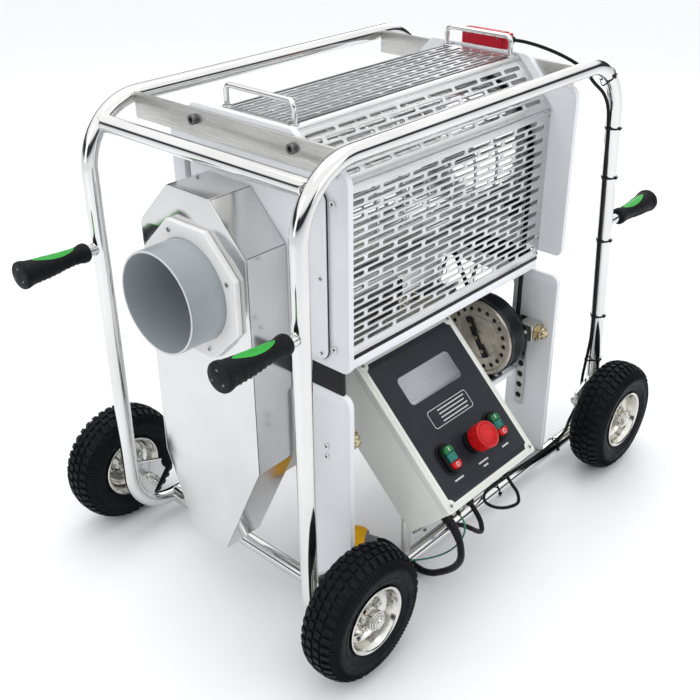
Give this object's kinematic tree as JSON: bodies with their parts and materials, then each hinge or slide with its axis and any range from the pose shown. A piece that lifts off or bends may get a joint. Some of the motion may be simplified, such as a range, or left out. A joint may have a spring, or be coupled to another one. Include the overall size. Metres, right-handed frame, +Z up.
{
  "type": "wheeled tumble trimmer",
  "caption": "Slotted drum over a bladed reel inside perforated guards, on a wheeled stainless tube frame with hand grips, vacuum duct and tilted control box.",
  "frame": {"origin": "on the ground, at the centre of the machine's footprint box", "axes": "+X along the drum, away from the vacuum duct; -Y towards the control box; +Z up"},
  "size_m": [1.322, 0.8093, 0.999],
  "materials": {
    "stainless": "polished stainless tube and sheet",
    "brushed": "brushed stainless sheet",
    "white": "satin white powder coat",
    "white_plastic": "white machined plastic",
    "cream": "light grey moulded enclosure",
    "rubber": "soft black grip with a green inlay",
    "tyre": "black block-tread tyre",
    "zinc": "bright zinc plate",
    "black": "black moulding",
    "cable": "black cable jacket and belt",
    "earth": "green wire insulation",
    "pipe": "grey pipe",
    "red": "red moulding",
    "green": "green moulding",
    "yellow": "yellow moulded plug",
    "motor": "black enamel",
    "steel": "ground steel"
  },
  "bodies": {
    "frame": {"front_frame_loop": "stainless", "rear_frame_loop": "stainless", "near_top_cross_tube": "stainless", "near_bottom_cross_tube": "stainless", "far_bottom_cross_tube": "stainless", "duct_box": "stainless", "leaf_tray": "stainless", "near_cross_plate": "brushed", "far_cross_plate": "brushed", "front_guard": "brushed", "rear_guard": "brushed", "motor_shelf": "brushed", "grip_near_front": "rubber", "grip_near_rear": "rubber", "grip_far_front": "rubber", "grip_far_rear": "rubber", "near_end_plate": "white", "far_end_plate": "white", "near_stand": "white", "far_stand": "white", "near_cover": "white", "duct_flange": "white_plastic", "duct_pipe": "pipe", "near_support_block": "zinc", "far_support_block": "zinc", "bed_knife": "steel", "drum_motor": "motor", "reel_motor": "motor", "drum_belt": "cable", "reel_belt": "cable", "power_cord": "cable", "motor_cable": "cable", "interlock_cable": "cable", "control_box": "cream", "control_lid": "cream", "tumbler_switch_base": "black", "reel_switch_base": "black", "interlock_switch": "red", "earth_wire": "earth", "power_plug": "yellow"},
    "wheel_near_front": {"tyre_near_front": "tyre", "rim_near_front": "zinc"},
    "wheel_near_rear": {"tyre_near_rear": "tyre", "rim_near_rear": "zinc"},
    "wheel_far_front": {"tyre_far_front": "tyre", "rim_far_front": "zinc"},
    "wheel_far_rear": {"tyre_far_rear": "tyre", "rim_far_rear": "zinc"},
    "tumbler": {"tumbler_drum": "stainless"},
    "reel": {"cutting_reel": "steel"},
    "roller_front": {"roller_shaft_front": "steel"},
    "roller_rear": {"roller_shaft_rear": "steel"},
    "drum_drive": {"drum_pulley": "steel"},
    "reel_drive": {"reel_motor_pulley": "steel"},
    "lid": {"lid": "brushed"},
    "stop_button": {"emergency_stop": "red"},
    "tumbler_start": {"tumbler_start_button": "green"},
    "tumbler_stop": {"tumbler_stop_button": "red"},
    "reel_start": {"reel_start_button": "green"},
    "reel_stop": {"reel_stop_button": "red"}
  },
  "joints": [
    {"name": "wheel_near_front_spin", "type": "hinge", "parent": "frame", "child": "wheel_near_front", "pos_m": [-0.446, -0.353, 0.13], "axis": [0, 1, 0], "continuous": true},
    {"name": "wheel_near_rear_spin", "type": "hinge", "parent": "frame", "child": "wheel_near_rear", "pos_m": [-0.446, 0.353, 0.13], "axis": [0, 1, 0], "continuous": true},
    {"name": "wheel_far_front_spin", "type": "hinge", "parent": "frame", "child": "wheel_far_front", "pos_m": [0.433, -0.353, 0.13], "axis": [0, 1, 0], "continuous": true},
    {"name": "wheel_far_rear_spin", "type": "hinge", "parent": "frame", "child": "wheel_far_rear", "pos_m": [0.433, 0.353, 0.13], "axis": [0, 1, 0], "continuous": true},
    {"name": "tumbler_spin", "type": "hinge", "parent": "frame", "child": "tumbler", "pos_m": [0, -0.03, 0.76], "axis": [1, 0, 0], "continuous": true},
    {"name": "drum_drive_spin", "type": "hinge", "parent": "frame", "child": "drum_drive", "pos_m": [0.27, -0.134, 0.356], "axis": [1, 0, 0], "continuous": true},
    {"name": "roller_front_spin", "type": "hinge", "parent": "frame", "child": "roller_front", "pos_m": [0, -0.16046, 0.65053], "axis": [1, 0, 0], "continuous": true},
    {"name": "roller_rear_spin", "type": "hinge", "parent": "frame", "child": "roller_rear", "pos_m": [0, 0.10046, 0.65053], "axis": [1, 0, 0], "continuous": true},
    {"name": "reel_spin", "type": "hinge", "parent": "frame", "child": "reel", "pos_m": [0, -0.03, 0.578], "axis": [1, 0, 0], "continuous": true},
    {"name": "reel_drive_spin", "type": "hinge", "parent": "frame", "child": "reel_drive", "pos_m": [0.3, 0.038, 0.34], "axis": [1, 0, 0], "continuous": true},
    {"name": "lid_lift", "type": "slide", "parent": "frame", "child": "lid", "axis": [0, 0, 1], "range_m": [0, 0.3]},
    {"name": "stop_press", "type": "slide", "parent": "frame", "child": "stop_button", "axis": [0, 0.7005, -0.7136], "range_m": [0, 0.006]},
    {"name": "tumbler_start_press", "type": "slide", "parent": "frame", "child": "tumbler_start", "axis": [0, 0.7005, -0.7136], "range_m": [0, 0.0025], "stiffness_N_per_m": 500, "springref_m": -0.001},
    {"name": "tumbler_stop_press", "type": "slide", "parent": "frame", "child": "tumbler_stop", "axis": [0, 0.7005, -0.7136], "range_m": [0, 0.0025], "stiffness_N_per_m": 500, "springref_m": -0.001},
    {"name": "reel_start_press", "type": "slide", "parent": "frame", "child": "reel_start", "axis": [0, 0.7005, -0.7136], "range_m": [0, 0.0025], "stiffness_N_per_m": 500, "springref_m": -0.001},
    {"name": "reel_stop_press", "type": "slide", "parent": "frame", "child": "reel_stop", "axis": [0, 0.7005, -0.7136], "range_m": [0, 0.0025], "stiffness_N_per_m": 500, "springref_m": -0.001}
  ],
  "couplings": [
    {"joint": "drum_drive_spin", "follows": "tumbler_spin", "ratio": 3.3333},
    {"joint": "roller_front_spin", "follows": "tumbler_spin", "ratio": -7.5},
    {"joint": "roller_rear_spin", "follows": "tumbler_spin", "ratio": -7.5},
    {"joint": "reel_drive_spin", "follows": "reel_spin", "ratio": 0.6222}
  ]
}
